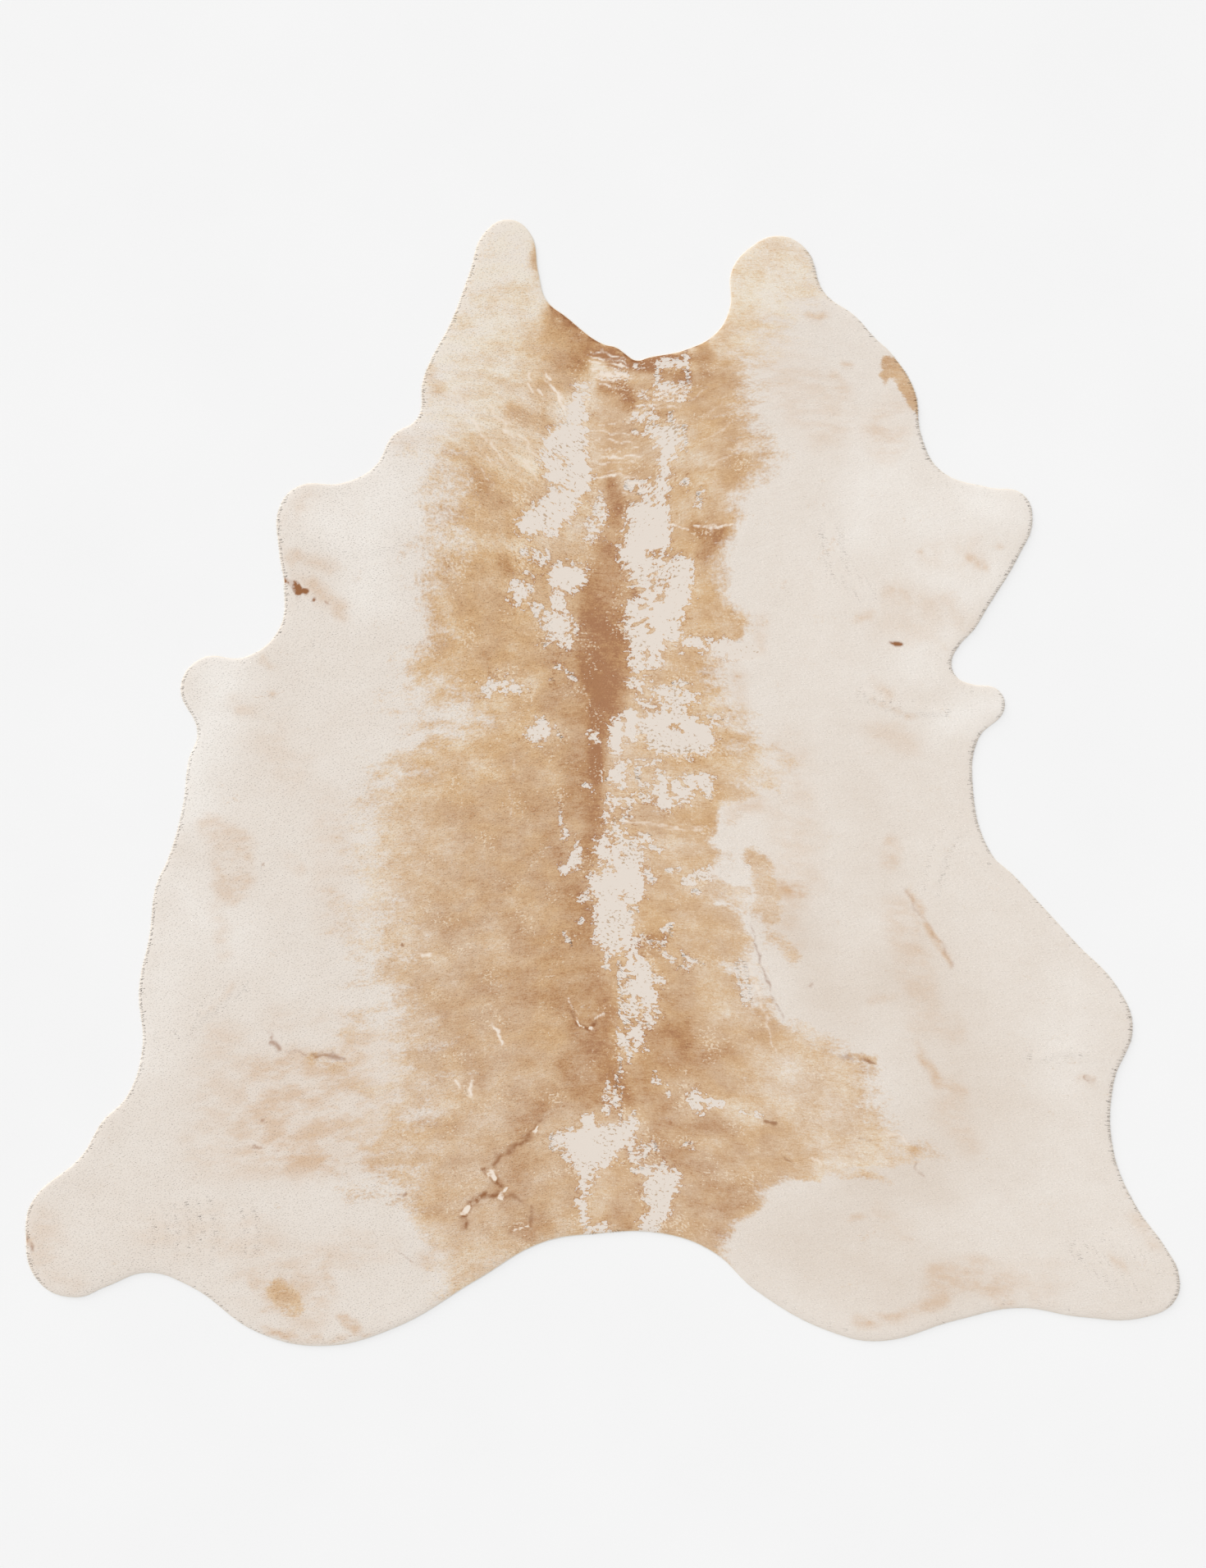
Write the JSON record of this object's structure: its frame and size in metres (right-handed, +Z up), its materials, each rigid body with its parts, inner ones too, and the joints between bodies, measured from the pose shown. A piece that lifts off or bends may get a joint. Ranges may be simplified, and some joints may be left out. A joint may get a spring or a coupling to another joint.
{
  "type": "cowhide rug",
  "caption": "Whole hair-on cowhide rug, flat with its natural leg and neck outline, cream with a tan, worn back, for lying on a floor.",
  "frame": {"origin": "on the floor, under the middle of the hide's box", "axes": "+Z up out of the hair side, +Y towards the neck, +X to the right with the neck at the top; the hide is widest along X across the hind legs"},
  "size_m": [2.1812, 2.13, 0.004],
  "materials": {
    "coat": "tanned hide with its short hair on, cream at the sides, tan and brown along the back, soft satin"
  },
  "bodies": {
    "root": {"hide": "coat"}
  },
  "joints": []
}
